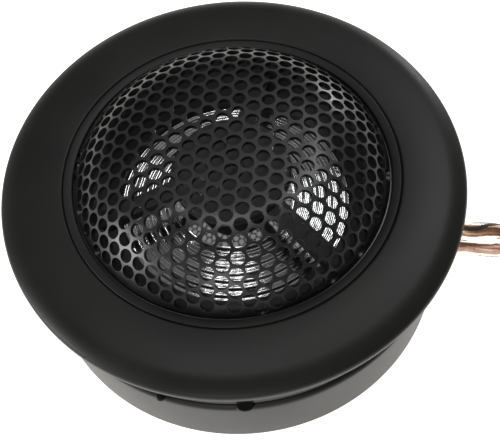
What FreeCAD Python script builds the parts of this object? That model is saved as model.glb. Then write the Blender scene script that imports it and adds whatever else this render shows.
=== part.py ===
"""Car tweeter: a perforated dome grille over a driver capsule, held in a wide
trim ring on a round rear cup, with its clear twin lead put away in a coil.

Frame: +Z up along the speaker's axis, origin in the middle of the cup's
underside, +X the way the lead leaves. Millimetres. Every piece is drawn where
it sits in the finished tweeter.
"""

import FreeCAD
import Part
import math
import os

import Sketcher
from FreeCAD import Placement, Rotation, Vector

# ---- Driving dimensions -------------------------------------------------------
# Heights are measured from the underside of the rear cup.

SIZES = {
    # trim ring: the wide flange and the neck that drops through the panel
    "flange_radius": 25.0,
    "flange_underside": 16.4,
    "flange_edge_top": 17.45,
    "flange_crown_radius": 22.6,
    "flange_crown_height": 18.08,
    "seam_height": 18.05,
    "seam_radius": 18.15,
    "neck_radius": 23.0,
    "neck_bore": 21.7,
    "web_underside": 16.0,
    # rear cup
    "cup_radius": 23.4,
    "cup_bore": 21.6,
    "cup_floor": 1.2,
    "cup_corner": 0.6,
    "parting_height": 9.4,
    "parting_gap": 0.2,
    "spigot_radius": 21.65,
    "spigot_bore": 20.6,
    "spigot_top": 11.6,
    "snap_height": 10.6,
    "snap_proud": 0.2,
    # capsule: bezel and grille
    "lip_radius": 17.1,
    "lip_underside": 17.4,
    "bezel_bore": 17.6,
    "bezel_flange": 21.4,
    "bezel_bottom": 13.2,
    "grille_top": 23.6,
    "grille_sheet": 0.5,
    "crown_bend": 330.0,
    "crown_reach": 7.8,
    "shoulder_bend": 10.55,
    "shoulder_turn": 60.5,
    "edge_bend": 0.9,
    "skirt_radius": 16.85,
    "foot_radius": 17.55,
    "gasket_height": 0.5,
    # perforation
    "hole_pitch": 1.784,
    "hole_radius": 0.72,
    "row_azimuth": 25.77,
    "field_shift_x": 0.525,
    "field_shift_y": -3.43,
    "hole_field": 18.0,
    "draw_shrink": 0.0702,
    "draw_ease": 0.0303,
    "draw_reach": 17.0,
    # phase plug and its flared ring
    "throat_radius": 12.9,
    "throat_height": 13.0,
    "flare_radius": 16.3,
    "plug_radius": 6.5,
    "plug_top": 18.5,
    "plug_thickness": 1.2,
    "plug_dimple": 1.6,
    "arm_width": 2.0,
    "arm_azimuth": 78.0,
    # moving parts and the ring that carries them
    "clamp_height": 12.0,
    "film": 0.12,
    "dome_radius": 6.5,
    "dome_edge": 13.0,
    "dome_rise": 1.5,
    "surround_bend": 0.26,
    "seat_radius": 14.3,
    "former_wall": 0.12,
    "former_bottom": 8.3,
    "coil_build": 0.35,
    "coil_bottom": 8.5,
    "coil_top": 10.9,
    # motor
    "yoke_radius": 8.9,
    "yoke_bore": 7.2,
    "yoke_bottom": 3.0,
    "yoke_top": 10.6,
    "yoke_floor": 1.8,
    "magnet_radius": 5.75,
    "pole_radius": 6.05,
    "pole_thickness": 1.8,
    "pad_radius": 5.0,
    "pad_height": 1.5,
    # driver frame
    "frame_bottom": 9.0,
    "frame_top": 11.2,
    "frame_skirt": 20.5,
    "frame_lip": 8.2,
    "glue_gap": 0.05,
    # fasteners
    "screw_circle": 19.0,
    "screw_azimuth": 28.0,
    "screw_shank": 0.85,
    "screw_head": 1.5,
    "screw_head_height": 1.1,
    "screw_tip": 15.6,
    "mounting_hole": 1.6,
    "mounting_offset": 18.0,
    # terminals
    "tab_place": 15.2,
    "tab_spread": 3.0,
    "tab_width": 1.8,
    "tab_sheet": 0.4,
    "tab_bottom": 5.2,
    "tab_top": 11.9,
    "board_thickness": 0.9,
    # lead
    "core_radius": 1.05,
    "outlet_height": 2.6,
    "grommet_wall": 0.6,
    "grommet_face": 24.2,
    "coil_centre_x": 60.5,
    "coil_centre_y": -27.6,
    "coil_inner": 19.7,
    "coil_outer": 27.3,
    "tie_sheet": 0.3,
    "tie_width": 3.0,
    # high-pass capacitor
    "capacitor_radius": 2.5,
    "capacitor_length": 11.0,
    "capacitor_place": 16.2,
    "capacitor_azimuth": 135.0,
    "capacitor_height": 4.4,
}

doc = FreeCAD.newDocument("CarTweeter")
sheet = doc.addObject("Spreadsheet::Sheet", "Sizes")
for row, (alias, number) in enumerate(SIZES.items(), start=1):
    sheet.set(f"A{row}", alias)
    sheet.set(f"B{row}", str(number))
    sheet.setAlias(f"B{row}", alias)
doc.recompute()


# ---- Sizes that remember their formula ------------------------------------------


class Size:
    """A number with the formula it came from: the number places the geometry
    and the formula binds it to the sheet."""

    def __init__(self, number, formula):
        self.number = number
        self.formula = formula

    def __add__(self, other):
        other = size_of(other)
        return Size(self.number + other.number, f"({self.formula} + {other.formula})")

    def __sub__(self, other):
        other = size_of(other)
        return Size(self.number - other.number, f"({self.formula} - {other.formula})")

    def __mul__(self, other):
        other = size_of(other)
        return Size(self.number * other.number, f"({self.formula} * {other.formula})")

    def __neg__(self):
        return Size(-self.number, f"(-1 * {self.formula})")


def size_of(value):
    return value if isinstance(value, Size) else Size(float(value), f"{float(value):.4f}")


def sine(angle):
    return Size(math.sin(math.radians(angle.number)), f"sin({angle.formula} * 1 deg)")


def cosine(angle):
    return Size(math.cos(math.radians(angle.number)), f"cos({angle.formula} * 1 deg)")


class Sizes:
    """Reads each driving dimension back from the sheet by its alias."""

    def __getattr__(self, alias):
        return Size(float(sheet.get(alias)), f"Sizes.{alias}")


S = Sizes()
parts = {}


# ---- Drawing helpers ---------------------------------------------------------------


def new_body(label):
    body = doc.addObject("PartDesign::Body", label)
    body.Label = label
    parts[label] = body
    return body


def sketch_on(body, name, role, offset=0.0):
    """A sketch on one of the body's own origin planes, lifted off it by offset."""
    offset = size_of(offset)
    plane = next(f for f in body.Origin.OriginFeatures if f.Role == role)
    sketch = body.newObject("Sketcher::SketchObject", name)
    sketch.AttachmentSupport = [(plane, "")]
    sketch.MapMode = "FlatFace"
    sketch.AttachmentOffset = Placement(Vector(0, 0, offset.number), Rotation())
    sketch.setExpression("AttachmentOffset.Base.z", offset.formula)
    return sketch


def fix_point(sketch, line, end, x, y):
    """Holds one end of a line at (x, y) from the sketch's origin."""
    for kind, axis, value in (("DistanceX", -2, x), ("DistanceY", -1, y)):
        if abs(value.number) < 1e-9:
            sketch.addConstraint(Sketcher.Constraint("PointOnObject", line, end, axis))
            continue
        if value.number > 0:
            rule = Sketcher.Constraint(kind, -1, 1, line, end, value.number)
        else:
            value = -value
            rule = Sketcher.Constraint(kind, line, end, -1, 1, value.number)
        place = sketch.addConstraint(rule)
        sketch.setExpression(f"Constraints[{place}]", value.formula)


def arc_between(start, finish, bend):
    """The short arc from start to finish; a positive bend turns left."""
    chord = finish - start
    middle = (start + finish) * 0.5
    left = Vector(-chord.y, chord.x, 0).normalize()
    reach = math.sqrt(bend * bend - (chord.Length / 2) ** 2)
    centre = middle + left * math.copysign(reach, bend)
    first, last = (start, finish) if bend > 0 else (finish, start)
    angles = [math.atan2(p.y - centre.y, p.x - centre.x) for p in (first, last)]
    circle = Part.Circle(centre, Vector(0, 0, 1), abs(bend))
    return Part.ArcOfCircle(circle, angles[0], angles[1])


def draw_outline(sketch, corners):
    """A closed outline. A corner is (x, y), or (x, y, bend) where an arc leads to it."""
    corners = [tuple(size_of(v) for v in corner) for corner in corners]
    places = [Vector(c[0].number, c[1].number, 0) for c in corners]
    ends = []
    for k, corner in enumerate(corners):
        start, finish = places[k - 1], places[k]
        if len(corner) == 2:
            line = sketch.addGeometry(Part.LineSegment(start, finish), False)
            ends.append((line, 1, 2))
            continue
        bend = corner[2]
        line = sketch.addGeometry(arc_between(start, finish, bend.number), False)
        ends.append((line, 1, 2) if bend.number > 0 else (line, 2, 1))
    for k, corner in enumerate(corners):
        line, _, end = ends[k]
        following, start, _ = ends[(k + 1) % len(corners)]
        sketch.addConstraint(Sketcher.Constraint("Coincident", line, end, following, start))
        fix_point(sketch, line, end, corner[0], corner[1])
        if len(corner) == 3:
            bend = corner[2] if corner[2].number > 0 else -corner[2]
            rule = sketch.addConstraint(Sketcher.Constraint("Radius", line, bend.number))
            sketch.setExpression(f"Constraints[{rule}]", bend.formula)


def draw_circle(sketch, x, y, radius):
    x, y, radius = size_of(x), size_of(y), size_of(radius)
    centre = Vector(x.number, y.number, 0)
    ring = sketch.addGeometry(Part.Circle(centre, Vector(0, 0, 1), radius.number), False)
    fix_point(sketch, ring, 3, x, y)
    rule = sketch.addConstraint(Sketcher.Constraint("Radius", ring, radius.number))
    sketch.setExpression(f"Constraints[{rule}]", radius.formula)


def rectangle(x, y, width, depth):
    """Corners of a rectangle round (x, y)."""
    x, y = size_of(x), size_of(y)
    half, deep = size_of(width) * 0.5, size_of(depth) * 0.5
    return [(x - half, y - deep), (x + half, y - deep), (x + half, y + deep), (x - half, y + deep)]


def turn(body, corners, name="turned"):
    """Revolves an outline of (radius, height) corners once round the axis."""
    sketch = sketch_on(body, f"{body.Label}_{name}_outline", "XZ_Plane")
    draw_outline(sketch, corners)
    feature = body.newObject("PartDesign::Revolution", f"{body.Label}_{name}")
    feature.Profile = sketch
    feature.ReferenceAxis = (sketch, ["V_Axis"])
    feature.Angle = 360.0
    return feature


def pad(body, sketch, length, name="pad"):
    feature = body.newObject("PartDesign::Pad", f"{body.Label}_{name}")
    feature.Profile = sketch
    feature.setExpression("Length", size_of(length).formula)
    return feature


def pocket(body, sketch, length, name="pocket"):
    """Cuts against the sketch's normal, so downwards from a level sketch."""
    feature = body.newObject("PartDesign::Pocket", f"{body.Label}_{name}")
    feature.Profile = sketch
    feature.setExpression("Length", size_of(length).formula)
    return feature


def repeat_round(body, feature, count):
    """Repeats a feature round the speaker's axis."""
    pattern = body.newObject("PartDesign::PolarPattern", f"{feature.Name}_pattern")
    pattern.Originals = [feature]
    axis = next(f for f in body.Origin.OriginFeatures if f.Role == "Z_Axis")
    pattern.Axis = (axis, [""])
    pattern.Angle = 360.0
    pattern.Occurrences = count
    body.Tip = pattern
    return pattern


def turned(label, corners):
    body = new_body(label)
    turn(body, corners)
    return body


def add_shape(label, shape):
    """A sub-part whose shape comes straight from Part's own functions."""
    feature = doc.addObject("Part::Feature", label)
    feature.Label = label
    feature.Shape = shape
    parts[label] = feature
    return feature


def polar(radius, azimuth, height=0.0):
    turn_angle = math.radians(azimuth)
    return Vector(radius * math.cos(turn_angle), radius * math.sin(turn_angle), height)


# ---- Housing ------------------------------------------------------------------------


def make_trim_ring():
    edge = S.flange_radius
    snap_low, snap_high = S.snap_height - 0.2, S.snap_height + 0.2
    groove = S.neck_bore + S.snap_proud + 0.05
    bottom = S.parting_height + S.parting_gap
    turned("trim_ring", [
        (S.seam_radius, S.web_underside),
        (S.neck_bore, S.web_underside),
        (S.neck_bore, snap_high + 0.25),
        (groove, snap_high),
        (groove, snap_low),
        (S.neck_bore, snap_low - 0.25),
        (S.neck_bore, bottom),
        (S.neck_radius - 0.2, bottom),
        (S.neck_radius, bottom + 0.2),
        (S.neck_radius, S.flange_underside - 0.3),
        (S.neck_radius + 0.3, S.flange_underside, -0.3),
        (edge - 0.2, S.flange_underside),
        (edge, S.flange_underside + 0.2, 0.2),
        (edge, S.flange_edge_top - 0.45),
        (edge - 0.3, S.flange_edge_top, 0.6),
        (S.flange_crown_radius, S.flange_crown_height, 4.5),
        (S.seam_radius, S.seam_height, 25.0),
    ])


def make_rear_cup():
    corner, bead = S.cup_corner, S.spigot_radius + S.snap_proud
    body = turned("rear_cup", [
        (0, 0),
        (S.cup_radius - corner, 0),
        (S.cup_radius, corner, corner),
        (S.cup_radius, S.parting_height - 0.5),
        (S.cup_radius - 0.5, S.parting_height, 0.5),
        (S.spigot_radius, S.parting_height),
        (S.spigot_radius, S.snap_height - 0.35),
        (bead, S.snap_height - 0.15),
        (bead, S.snap_height + 0.15),
        (S.spigot_radius, S.snap_height + 0.35),
        (S.spigot_radius, S.spigot_top),
        (S.spigot_bore, S.spigot_top),
        (S.spigot_bore, S.frame_bottom - 0.1),
        (S.cup_bore, S.frame_bottom - 1.1),
        (S.cup_bore, S.cup_floor),
        (0, S.cup_floor),
    ])
    holes = sketch_on(body, "mounting_hole_centres", "XY_Plane", S.cup_floor)
    for side in (1, -1):
        draw_circle(holes, 0, S.mounting_offset * side, S.mounting_hole)
    pocket(body, holes, S.cup_floor, "mounting_holes")
    outlet = sketch_on(body, "outlet_outline", "YZ_Plane", S.cup_radius + 1)
    draw_outline(outlet, slot_corners(S.grommet_wall))
    pocket(body, outlet, S.cup_radius + 1 - (S.cup_bore - 1), "outlet")


def slot_corners(wall):
    """Outline of the twin lead's section, grown by wall, across (y, z)."""
    half = S.core_radius + wall
    low, high = S.outlet_height - half, S.outlet_height + half
    middle = S.outlet_height
    side = S.core_radius
    return [
        (side, low),
        (side + half, middle, half), (side, high, half),
        (-side, high),
        (-side - half, middle, half), (-side, low, half),
    ]


def make_capsule_bezel():
    body = turned("capsule_bezel", [
        (S.bezel_bore, S.bezel_bottom),
        (S.bezel_flange, S.bezel_bottom),
        (S.bezel_flange, S.web_underside),
        (S.seam_radius - 0.05, S.web_underside),
        (S.seam_radius - 0.05, S.seam_height - 0.12),
        (S.seam_radius - 0.2, S.seam_height - 0.02, 0.2),
        (S.lip_radius + 0.08, S.seam_height - 0.2),
        (S.lip_radius, S.seam_height - 0.35, 0.25),
        (S.lip_radius, S.lip_underside),
        (S.bezel_bore, S.lip_underside),
    ])
    depth = S.screw_tip + 0.1 - S.bezel_bottom
    pilots = sketch_on(body, "pilot_centre", "XY_Plane", S.screw_tip + 0.1)
    draw_circle(
        pilots,
        S.screw_circle * cosine(S.screw_azimuth),
        S.screw_circle * sine(S.screw_azimuth),
        S.screw_shank + 0.02,
    )
    repeat_round(body, pocket(body, pilots, depth, "pilot"), 3)


# ---- Grille ---------------------------------------------------------------------------


def make_grille_blank():
    """Deep-drawn sheet: a flat crown, a rounded shoulder, a skirt and a foot."""
    lean = Size(math.degrees(math.asin(S.crown_reach.number / S.crown_bend.number)),
                "asin(Sizes.crown_reach / Sizes.crown_bend) / 1 deg")
    sheet_wall = S.grille_sheet
    centre_r = S.crown_reach - S.shoulder_bend * sine(lean)
    crown_drop = S.crown_bend - S.crown_bend * cosine(lean)
    centre_z = S.grille_top - crown_drop - S.shoulder_bend * cosine(lean)

    def on_shoulder(bend, angle):
        return centre_r + bend * sine(angle), centre_z + bend * cosine(angle)

    inner_bend = S.shoulder_bend - sheet_wall
    outer_low = on_shoulder(S.shoulder_bend, S.shoulder_turn)
    outer_high = on_shoulder(S.shoulder_bend, lean)
    inner_low = on_shoulder(inner_bend, S.shoulder_turn)
    inner_high = on_shoulder(inner_bend, lean)
    edge_drop = S.edge_bend * cosine(S.shoulder_turn)
    skirt = outer_low[0] + S.edge_bend - S.edge_bend * sine(S.shoulder_turn)
    inner_drop = (S.edge_bend - sheet_wall) * cosine(S.shoulder_turn)
    foot_low = S.lip_underside - sheet_wall
    return turned("grille_blank", [
        (0, S.grille_top - sheet_wall),
        (inner_high[0], inner_high[1], -(S.crown_bend - sheet_wall)),
        (inner_low[0], inner_low[1], -inner_bend),
        (skirt - sheet_wall, inner_low[1] - inner_drop, -(S.edge_bend - sheet_wall)),
        (skirt - sheet_wall, foot_low),
        (S.foot_radius, foot_low),
        (S.foot_radius, S.lip_underside),
        (skirt, S.lip_underside),
        (skirt, outer_low[1] - edge_drop),
        (outer_low[0], outer_low[1], S.edge_bend),
        (outer_high[0], outer_high[1], S.shoulder_bend),
        (0, S.grille_top, S.crown_bend),
    ])


def place_on_dome(along):
    """Radius, height and lean of the dome's outer face at a distance along it."""
    crown, shoulder = S.crown_bend.number, S.shoulder_bend.number
    reach, top = S.crown_reach.number, S.grille_top.number
    start = math.asin(reach / crown)
    if along <= crown * start:
        lean = along / crown
        return crown * math.sin(lean), top - crown * (1 - math.cos(lean)), lean
    lean = start + (along - crown * start) / shoulder
    radius = reach + shoulder * (math.sin(lean) - math.sin(start))
    drop = crown * (1 - math.cos(start)) + shoulder * (math.cos(start) - math.cos(lean))
    return radius, top - drop, lean


def punches():
    """One punch for each hole. The rows are even in the flat sheet, and draw in
    a little towards the rim where it is pressed into a dome."""
    pitch, turned_by = S.hole_pitch.number, math.radians(S.row_azimuth.number)
    shift = Vector(S.field_shift_x.number, S.field_shift_y.number, 0)
    rows = int(S.draw_reach.number / pitch) + 4
    along = Vector(math.cos(turned_by), math.sin(turned_by), 0) * pitch
    across = Vector(math.cos(turned_by + math.pi / 3), math.sin(turned_by + math.pi / 3), 0) * pitch
    found = []
    for i in range(-rows, rows + 1):
        for j in range(-rows, rows + 1):
            flat = shift + along * i + across * j
            share = (flat.Length / S.draw_reach.number) ** 2
            drawn = 1 - S.draw_shrink.number * share + S.draw_ease.number * share ** 2
            if flat.Length * drawn > S.hole_field.number:
                continue
            radius, height, lean = place_on_dome(flat.Length * drawn)
            outward = Vector(math.sin(lean), 0, math.cos(lean))
            low = Vector(radius, 0, height) - outward * (2 * S.grille_sheet.number)
            punch = Part.makeCylinder(S.hole_radius.number, 3 * S.grille_sheet.number, low, outward)
            punch.rotate(Vector(), Vector(0, 0, 1), math.degrees(math.atan2(flat.y, flat.x)))
            found.append(punch)
    print("grille holes", len(found))
    return found


def make_grille():
    blank = make_grille_blank()
    parts.pop(blank.Label)
    holes = doc.addObject("Part::Feature", "grille_punches")
    holes.Shape = Part.makeCompound(punches())
    grille = doc.addObject("Part::Cut", "grille")
    grille.Label = "grille"
    grille.Base = blank
    grille.Tool = holes
    parts["grille"] = grille


def make_grille_gasket():
    top = S.lip_underside - S.grille_sheet
    turned("grille_gasket", [
        (S.flare_radius, top - S.gasket_height),
        (S.bezel_bore - 0.1, top - S.gasket_height),
        (S.bezel_bore - 0.1, top),
        (S.flare_radius, top),
    ])


# ---- Phase plug -------------------------------------------------------------------------


def make_phase_plug():
    """A flared ring, a disc over the dome and three arms, moulded in one."""
    body = new_body("phase_plug")
    outer = S.bezel_bore - 0.1
    rim = S.lip_underside - S.grille_sheet - S.gasket_height
    turn(body, [
        (S.throat_radius, S.clamp_height),
        (outer, S.clamp_height),
        (outer, rim),
        (S.flare_radius, rim),
        (S.throat_radius, S.throat_height),
    ], "flare")
    disc_low = S.plug_top - S.plug_thickness
    sketch = sketch_on(body, "arm_outline", "XZ_Plane", -(S.arm_width * 0.5))
    draw_outline(sketch, [
        (S.plug_radius - 1.5, disc_low + 0.3),
        (S.flare_radius - 1.2, S.throat_height + 1.2),
        (S.flare_radius - 0.3, S.throat_height + 2.5),
        (S.plug_radius - 1.5, S.plug_top - 0.3),
    ])
    repeat_round(body, pad(body, sketch, S.arm_width, "arm"), 3)
    turn(body, [
        (0, disc_low),
        (S.plug_radius - 0.4, disc_low),
        (S.plug_radius, disc_low + 0.4, 0.4),
        (S.plug_radius, S.plug_top - 0.4),
        (S.plug_radius - 0.4, S.plug_top, 0.4),
        (S.plug_dimple, S.plug_top),
        (0, S.plug_top - 0.45),
    ], "disc")
    body.Placement = Placement(Vector(), Rotation(Vector(0, 0, 1), S.arm_azimuth.number))
    body.setExpression("Placement.Rotation.Angle", "Sizes.arm_azimuth * 1 deg")


# ---- Diaphragm ----------------------------------------------------------------------------


def make_dome():
    radius, rise = S.dome_radius.number, S.dome_rise.number
    formula = "((Sizes.dome_radius ^ 2 + Sizes.dome_rise ^ 2) / (2 * Sizes.dome_rise))"
    bend = Size((radius ** 2 + rise ** 2) / (2 * rise), formula)
    top = S.dome_edge + S.dome_rise
    turned("dome", [
        (0, top - S.film),
        (S.dome_radius, S.dome_edge - S.film, -bend),
        (S.dome_radius, S.dome_edge),
        (0, top, bend),
    ])


def make_surround():
    """A ribbed film that climbs from its clamped rim to the edge of the dome."""
    ribs = 16
    width = (S.throat_radius - S.dome_radius) * (1 / ribs)
    rise = (S.dome_edge - S.clamp_height) * (1 / ribs)
    upper, lower = [], []
    for k in range(ribs + 1):
        radius = S.throat_radius - width * k
        height = S.clamp_height + rise * k
        bend = S.surround_bend if k % 2 else -S.surround_bend
        upper.append((radius, height, bend) if k else (radius, height))
        lower.append((radius, height - S.film, bend))
    under = [(lower[-1][0], lower[-1][1])]
    for k in range(ribs, 0, -1):
        under.append((lower[k - 1][0], lower[k - 1][1], -lower[k][2]))
    turned("surround", [
        (S.seat_radius, S.clamp_height - S.film),
        (S.seat_radius, S.clamp_height),
        *upper,
        *under,
    ])


def make_moving_coil():
    outer = S.dome_radius
    turned("coil_former", [
        (outer - S.former_wall, S.former_bottom),
        (outer, S.former_bottom),
        (outer, S.dome_edge - S.film),
        (outer - S.former_wall, S.dome_edge - S.film),
    ])
    turned("voice_coil", [
        (outer, S.coil_bottom),
        (outer + S.coil_build, S.coil_bottom),
        (outer + S.coil_build, S.coil_top),
        (outer, S.coil_top),
    ])


def make_diaphragm_ring():
    top = S.clamp_height - S.film
    turned("diaphragm_ring", [
        (S.throat_radius, S.frame_top),
        (S.seat_radius, S.frame_top),
        (S.seat_radius, top),
        (S.throat_radius, top),
    ])


# ---- Motor ------------------------------------------------------------------------------------


def make_motor():
    floor = S.yoke_bottom + S.yoke_floor
    pole_low = S.yoke_top - S.pole_thickness
    turned("yoke", [
        (0, S.yoke_bottom),
        (S.yoke_radius - 0.4, S.yoke_bottom),
        (S.yoke_radius, S.yoke_bottom + 0.4),
        (S.yoke_radius, S.yoke_top),
        (S.yoke_bore, S.yoke_top),
        (S.yoke_bore, floor),
        (0, floor),
    ])
    turned("magnet", [
        (0, floor), (S.magnet_radius, floor), (S.magnet_radius, pole_low), (0, pole_low),
    ])
    turned("pole_plate", [
        (0, pole_low), (S.pole_radius, pole_low), (S.pole_radius, S.yoke_top), (0, S.yoke_top),
    ])
    pad_top = S.yoke_top + S.pad_height
    turned("damping_pad", [
        (0, S.yoke_top), (S.pad_radius, S.yoke_top),
        (S.pad_radius, pad_top - 0.4), (S.pad_radius - 0.4, pad_top, 0.4), (0, pad_top),
    ])


def make_driver_frame():
    body = turned("driver_frame", [
        (S.yoke_radius + S.glue_gap, S.frame_bottom),
        (S.frame_skirt, S.frame_bottom),
        (S.frame_skirt, S.spigot_top),
        (S.bezel_flange, S.spigot_top),
        (S.bezel_flange, S.bezel_bottom),
        (S.bezel_bore, S.bezel_bottom),
        (S.bezel_bore, S.frame_top),
        (S.frame_lip, S.frame_top),
        (S.frame_lip, S.yoke_top),
        (S.yoke_radius + S.glue_gap, S.yoke_top),
    ])
    tabs = sketch_on(body, "tab_slots", "XY_Plane", S.frame_top)
    for side in (1, -1):
        slot = rectangle(-S.tab_place, S.tab_spread * side, S.tab_sheet, S.tab_width)
        draw_outline(tabs, slot)
    pocket(body, tabs, S.frame_top - S.frame_bottom, "tab_slots_cut")
    leads = sketch_on(body, "lead_slots", "XY_Plane", S.frame_top)
    outer_end, inner_end = S.tab_place - S.tab_sheet * 0.5, S.frame_lip - 1
    middle, length = (outer_end + inner_end) * 0.5, outer_end - inner_end
    for side in (1, -1):
        draw_outline(leads, rectangle(-middle, S.tab_spread * side, length, 1.4))
    pocket(body, leads, S.frame_top - S.yoke_top, "lead_slots_cut")
    holes = sketch_on(body, "frame_hole_centre", "XY_Plane", S.bezel_bottom)
    draw_circle(
        holes,
        S.screw_circle * cosine(S.screw_azimuth),
        S.screw_circle * sine(S.screw_azimuth),
        S.screw_shank + 0.1,
    )
    cut = pocket(body, holes, S.bezel_bottom - S.frame_bottom, "screw_hole")
    repeat_round(body, cut, 3)


def make_frame_screws():
    """Three pan-head screws, driven from behind into the bezel's flange."""
    bottom, head = S.frame_bottom.number, S.screw_head_height.number
    radius, shank = S.screw_head.number, S.screw_shank.number
    seat = Vector(0, 0, bottom)
    body = Part.makeCylinder(radius, head, seat - Vector(0, 0, head))
    edges = [e for e in body.Edges if e.BoundBox.ZMax < bottom - head + 0.01]
    body = body.makeFillet(0.5 * head, [e for e in edges if e.BoundBox.XLength > radius])
    pin = Part.makeCylinder(shank, S.screw_tip.number - bottom - shank, seat)
    tip_seat = Vector(0, 0, S.screw_tip.number - shank)
    tip = Part.makeCone(shank, 0.25, shank, tip_seat)
    screw = body.fuse([pin, tip]).removeSplitter()
    recess_low = Vector(0, 0, bottom - head - 0.1)
    for width, depth in ((1.7, 0.35), (0.35, 1.7)):
        corner = recess_low - Vector(width / 2, depth / 2, 0)
        screw = screw.cut(Part.makeBox(width, depth, 0.6, corner))
    screws = []
    for k in range(3):
        copy = screw.copy()
        copy.translate(polar(S.screw_circle.number, S.screw_azimuth.number + 120 * k))
        screws.append(copy)
    add_shape("frame_screws", Part.makeCompound(screws))


# ---- Wiring ------------------------------------------------------------------------------------


def bent_path(points, share=0.45):
    """Straight runs joined by tangent arcs. Returns the wire and each arc's radius."""
    points = [Vector(*p) for p in points]
    edges, radii, start = [], [], points[0]
    for before, corner, after in zip(points, points[1:], points[2:]):
        came, goes = (corner - before), (after - corner)
        half_turn = came.getAngle(goes) / 2
        reach = share * min(came.Length, goes.Length)
        radii.append(reach / math.tan(half_turn))
        came.normalize()
        goes.normalize()
        first, last = corner - came * reach, corner + goes * reach
        inward = (goes - came).normalize()
        sag = radii[-1] / math.cos(half_turn) - radii[-1]
        edges.append(Part.LineSegment(start, first).toShape())
        edges.append(Part.Arc(first, corner + inward * sag, last).toShape())
        start = last
    edges.append(Part.LineSegment(start, points[-1]).toShape())
    return Part.Wire(edges), radii


def wire_along(points, radius):
    """A round wire along a bent path."""
    path, _ = bent_path(points)
    start = path.Vertexes[0].Point
    direction = path.Edges[0].tangentAt(path.Edges[0].FirstParameter)
    ring = Part.Wire([Part.Circle(start, direction, radius).toShape()])
    solid = path.makePipeShell([ring], True, False)
    return solid


def make_terminals():
    label = "terminal_tabs"
    tabs, thick, wide = [], S.tab_sheet.number, S.tab_width.number
    for side in (1, -1):
        corner = Vector(
            -S.tab_place.number - thick / 2,
            S.tab_spread.number * side - wide / 2,
            S.tab_bottom.number,
        )
        tabs.append(Part.makeBox(thick, wide, S.tab_top.number - S.tab_bottom.number, corner))
    add_shape(label, Part.makeCompound(tabs))
    body = new_body("terminal_board")
    sketch = sketch_on(body, "board_outline", "XY_Plane", S.frame_bottom - S.board_thickness)
    draw_outline(sketch, rectangle(-S.tab_place, 0, 3.6, 10.4))
    for side in (1, -1):
        slot = rectangle(-S.tab_place, S.tab_spread * side, S.tab_sheet, S.tab_width)
        draw_outline(sketch, slot)
    pad(body, sketch, S.board_thickness)


def make_coil_leads():
    """Fine leads from the coil out through the frame's slots to the tabs."""
    tab_face = -S.tab_place.number + S.tab_sheet.number / 2
    coil_edge = (S.dome_radius + S.coil_build).number + 0.12
    leads = []
    for side in (1, -1):
        y = S.tab_spread.number * side
        start = -math.sqrt(coil_edge ** 2 - y ** 2) - 0.15
        height = S.coil_top.number
        leads.append(wire_along([
            (start, y, height),
            (start - 1.6, y + 0.35 * side, height),
            (start - 3.2, y + 0.35 * side, height),
            (tab_face, y, height),
        ], 0.12))
    add_shape("coil_leads", Part.makeCompound(leads))


def capacitor_points():
    """Centre and both ends of the capacitor's body, and its direction."""
    azimuth, height = S.capacitor_azimuth.number, S.capacitor_height.number
    centre = polar(S.capacitor_place.number, azimuth, height)
    along = polar(1.0, azimuth + 90)
    half = along * (S.capacitor_length.number / 2)
    return centre - half, centre + half, along


def make_capacitor():
    near, far, along = capacitor_points()
    radius, length = S.capacitor_radius.number, S.capacitor_length.number
    can = Part.makeCylinder(radius, length, near, along)
    can = can.makeFillet(0.35, [e for e in can.Edges if e.Length > 2 * radius + 6])
    groove = Part.makeTorus(radius + 0.15, 0.35, near + along * 1.6, along)
    add_shape("capacitor", can.cut(groove))
    board_side = Vector(-S.tab_place.number, S.tab_spread.number, 0)
    first = wire_along([near, near - along * 1.0, near - along * 2.0 + Vector(0, 0, -0.02)], 0.3)
    second = wire_along([
        far,
        far + along * 1.2,
        board_side + Vector(-0.55, 2.0, 4.5),
        board_side + Vector(-0.5, 0.6, 5.4),
    ], 0.3)
    add_shape("capacitor_leads", Part.makeCompound([first, second]))
    low = S.cup_floor.number
    high = S.capacitor_height.number - radius
    block = Part.makeBox(4.0, 8.0, high - low + 0.35, Vector(-2, -4, low))
    block.rotate(Vector(), Vector(0, 0, 1), S.capacitor_azimuth.number)
    block.translate(polar(S.capacitor_place.number, S.capacitor_azimuth.number))
    add_shape("capacitor_pad", block.cut(Part.makeCylinder(radius, length, near, along)))


def make_lead_cores():
    """The twin lead's two insulated cores, parted inside the cup."""
    side, height = S.core_radius.number, S.outlet_height.number
    face = S.grommet_face.number
    near, _, along = capacitor_points()
    joint = near - along * 2.4
    positive = [
        (face - 0.05, side, height),
        (20.3, side, height),
        (19.2, side + 0.25, height),
        (15.3, 5.3, height),
        polar(14.3, 42, height),
        polar(14.3, 65, height),
        polar(14.6, 85, height + 0.6),
        joint + Vector(2.6, -1.0, -0.5),
        joint,
    ]
    negative = [
        (face - 0.05, -side, height),
        (20.3, -side, height),
        (19.2, -side - 0.25, height),
        (15.3, -5.3, height),
        *[polar(14.3, -azimuth, height) for azimuth in (42, 65, 88, 111, 134)],
        polar(15.2, -153, height + 0.2),
        (-S.tab_place.number, -S.tab_spread.number - 0.6, 4.2),
    ]
    add_shape("lead_core_positive", wire_along(positive, side - 0.02))
    add_shape("lead_core_negative", wire_along(negative, side - 0.02))


def make_solder_joints():
    near, _, along = capacitor_points()
    place, spread = S.tab_place.number, S.tab_spread.number
    blobs = [Part.makeSphere(0.75, near - along * 2.2)]
    for side in (1, -1):
        blobs.append(Part.makeSphere(0.75, Vector(-place - 0.2, spread * side, 5.1)))
        blobs.append(Part.makeSphere(0.35, Vector(-place + 0.35, spread * side, 11.2)))
    add_shape("solder_joints", Part.makeCompound(blobs))


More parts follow.
